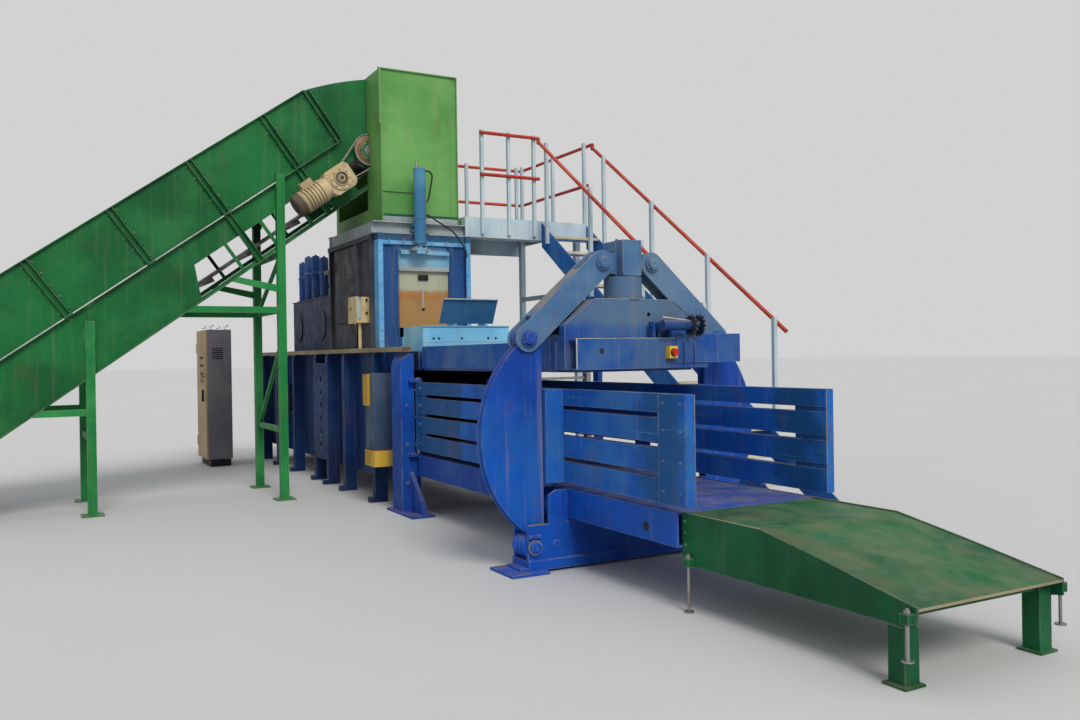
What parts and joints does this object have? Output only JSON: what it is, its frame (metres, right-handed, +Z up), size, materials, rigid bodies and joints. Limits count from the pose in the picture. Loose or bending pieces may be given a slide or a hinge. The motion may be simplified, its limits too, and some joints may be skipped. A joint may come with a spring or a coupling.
{
  "type": "channel baler",
  "caption": "Horizontal channel baler with inclined feed conveyor, hood and hopper, swinging side walls, squeeze frame, stairs, hydraulic unit, control cabinet and outlet ramp.",
  "frame": {"origin": "on the floor under the middle of the squeeze frame, on the channel's centre plane", "axes": "+X is the way the bales leave, +Y is the stair side, +Z is up"},
  "size_m": [12.835, 8.3647, 4.945],
  "materials": {
    "press_blue": "worn gloss machine paint",
    "light_blue": "worn machine paint",
    "hopper_grey": "dull blue-grey paint",
    "conveyor_green": "gloss green paint",
    "hood_green": "faded green paint",
    "ramp_green": "dark green paint",
    "steel": "machined and worn",
    "grey_paint": "light grey paint",
    "cabinet_grey": "powder coat",
    "beam_grey": "pale grey paint",
    "tray_beige": "dusty zinc",
    "box_white": "dusty plastic",
    "yellow": "yellow guard paint",
    "red_paint": "red handrail paint",
    "red_plastic": "moulded",
    "belt": "dusty ribbed belt",
    "motor_blue": "dull blue paint",
    "dark_steel": "dark paint"
  },
  "bodies": {
    "frame": {"press_frame": "press_blue", "chamber_liner": "steel", "shear_bar": "steel", "main_cylinder": "press_blue", "channel_bed": "press_blue", "hinge_posts": "press_blue", "wall_hinge_pins": "steel", "squeeze_base": "press_blue", "base_pins": "steel", "hopper": "hopper_grey", "gate_frame": "light_blue", "tamper_cylinder": "light_blue", "platform_beam": "beam_grey", "hood": "hood_green", "service_box": "light_blue", "cable_tray": "tray_beige", "twister_case": "grey_paint", "needle_rails": "press_blue", "wire_guards": "yellow", "oil_tank": "press_blue", "pump_motor": "motor_blue", "valve_block": "grey_paint", "hydraulic_pipes": "steel", "conveyor_frame": "conveyor_green", "conveyor_legs": "conveyor_green", "conveyor_belt": "belt", "gearmotor": "grey_paint", "platform": "beam_grey", "stairs": "press_blue", "rail_posts": "beam_grey", "handrails": "red_paint", "cabinet": "cabinet_grey", "junction_box": "box_white", "ramp": "ramp_green", "jack_screws": "steel"},
    "ram": {"ram": "press_blue", "main_rod": "steel"},
    "top_plate": {"top_plate": "press_blue", "squeeze_cylinder": "press_blue", "estop_box": "yellow"},
    "crosshead": {"crosshead": "press_blue"},
    "link_near": {"link_near": "press_blue"},
    "link_far": {"link_far": "press_blue"},
    "lever_near": {"lever_near": "press_blue"},
    "lever_far": {"lever_far": "press_blue"},
    "wall_near": {"side_wall_near": "press_blue"},
    "wall_far": {"side_wall_far": "press_blue"},
    "tamper": {"tamper": "light_blue"},
    "needle_carriage": {"needle_carriage": "steel"},
    "twisters": {"twisters": "steel"},
    "star_arm": {"star_arm": "dark_steel"},
    "star_wheel": {"star_wheel": "dark_steel"},
    "head_pulley": {"head_pulley": "steel"},
    "tail_pulley": {"tail_pulley": "steel"},
    "hood_door": {"hood_door": "hood_green"},
    "hopper_door": {"hopper_door": "hopper_grey"},
    "service_lid": {"service_lid": "press_blue"},
    "cabinet_door": {"cabinet_door": "cabinet_grey"},
    "cabinet_buttons": {"cabinet_buttons": "red_plastic"},
    "estop_button": {"estop_button": "red_plastic"}
  },
  "joints": [
    {"name": "ram_slide", "type": "slide", "parent": "frame", "child": "ram", "axis": [1, 0, 0], "range_m": [0, 2.04]},
    {"name": "top_plate_hinge", "type": "hinge", "parent": "frame", "child": "top_plate", "pos_m": [-2.815, 0, 1.645], "axis": [0, 1, 0], "range_deg": [0, 0.64]},
    {"name": "crosshead_slide", "type": "slide", "parent": "top_plate", "child": "crosshead", "axis": [0, 0, 1], "range_m": [0, 0.11]},
    {"name": "link_near_hinge", "type": "hinge", "parent": "crosshead", "child": "link_near", "pos_m": [0.075, -0.23, 2.303], "axis": [1, 0, 0], "range_deg": [0, 7.42]},
    {"name": "link_far_hinge", "type": "hinge", "parent": "crosshead", "child": "link_far", "pos_m": [0.075, 0.23, 2.303], "axis": [1, 0, 0], "range_deg": [-7.42, 0]},
    {"name": "lever_near_hinge", "type": "hinge", "parent": "frame", "child": "lever_near", "pos_m": [0.075, -0.888, 0.19], "axis": [1, 0, 0], "range_deg": [-2.98, 0]},
    {"name": "lever_far_hinge", "type": "hinge", "parent": "frame", "child": "lever_far", "pos_m": [0.075, 0.888, 0.19], "axis": [1, 0, 0], "range_deg": [0, 2.98]},
    {"name": "wall_near_hinge", "type": "hinge", "parent": "frame", "child": "wall_near", "pos_m": [-2.84, -0.58, 1], "axis": [0, 0, 1], "range_deg": [0, 1.21]},
    {"name": "wall_far_hinge", "type": "hinge", "parent": "frame", "child": "wall_far", "pos_m": [-2.84, 0.58, 1], "axis": [0, 0, 1], "range_deg": [-1.21, 0]},
    {"name": "tamper_slide", "type": "slide", "parent": "frame", "child": "tamper", "axis": [0, 0, -1], "range_m": [0, 0.27]},
    {"name": "needle_slide", "type": "slide", "parent": "frame", "child": "needle_carriage", "axis": [0, -1, 0], "range_m": [0, 1.27]},
    {"name": "twister_spin", "type": "hinge", "parent": "frame", "child": "twisters", "pos_m": [-3.65, -0.74, 1], "axis": [0, 0, 1], "continuous": true},
    {"name": "star_arm_hinge", "type": "hinge", "parent": "top_plate", "child": "star_arm", "pos_m": [0.302, 0.215, 1.813], "axis": [0, 1, 0], "range_deg": [-45, 0]},
    {"name": "star_wheel_spin", "type": "hinge", "parent": "star_arm", "child": "star_wheel", "pos_m": [0.432, 0.43, 1.813], "axis": [0, 1, 0], "continuous": true},
    {"name": "head_pulley_spin", "type": "hinge", "parent": "frame", "child": "head_pulley", "pos_m": [-5.205, -0.474, 4.07], "axis": [1, 0, 0], "continuous": true},
    {"name": "tail_pulley_spin", "type": "hinge", "parent": "frame", "child": "tail_pulley", "pos_m": [-5.205, -5.15, 0.70995], "axis": [1, 0, 0], "continuous": true},
    {"name": "hood_door_hinge", "type": "hinge", "parent": "frame", "child": "hood_door", "pos_m": [-4.31, 0.4893, 4.1], "axis": [0, 0, 1], "range_deg": [-72, 20]},
    {"name": "hopper_door_hinge", "type": "hinge", "parent": "frame", "child": "hopper_door", "pos_m": [-5.509, -0.6243, 2.5], "axis": [0, 0, 1], "range_deg": [-110, 0]},
    {"name": "service_lid_hinge", "type": "hinge", "parent": "frame", "child": "service_lid", "pos_m": [-2.883, -0.01, 1.934], "axis": [0, 1, 0], "range_deg": [-118, 0]},
    {"name": "cabinet_door_hinge", "type": "hinge", "parent": "frame", "child": "cabinet_door", "pos_m": [-9.35, -1.712, 1.1], "axis": [0, 0, 1], "range_deg": [-110, 0]},
    {"name": "cabinet_button_press", "type": "slide", "parent": "cabinet_door", "child": "cabinet_buttons", "axis": [0, 1, 0], "range_m": [0, 0.006], "stiffness_N_per_m": 600},
    {"name": "estop_press", "type": "slide", "parent": "top_plate", "child": "estop_button", "axis": [-1, 0, 0], "range_m": [0, 0.006], "stiffness_N_per_m": 400}
  ],
  "couplings": [
    {"joint": "top_plate_hinge", "follows": "crosshead_slide", "rad_per_m": 0.1},
    {"joint": "link_near_hinge", "follows": "crosshead_slide", "rad_per_m": 1.1761},
    {"joint": "link_far_hinge", "follows": "crosshead_slide", "rad_per_m": -1.1761},
    {"joint": "lever_near_hinge", "follows": "crosshead_slide", "rad_per_m": -0.4708},
    {"joint": "lever_far_hinge", "follows": "crosshead_slide", "rad_per_m": 0.4708},
    {"joint": "wall_near_hinge", "follows": "crosshead_slide", "rad_per_m": 0.1904},
    {"joint": "wall_far_hinge", "follows": "crosshead_slide", "rad_per_m": -0.1904},
    {"joint": "tail_pulley_spin", "follows": "head_pulley_spin", "ratio": 1}
  ]
}
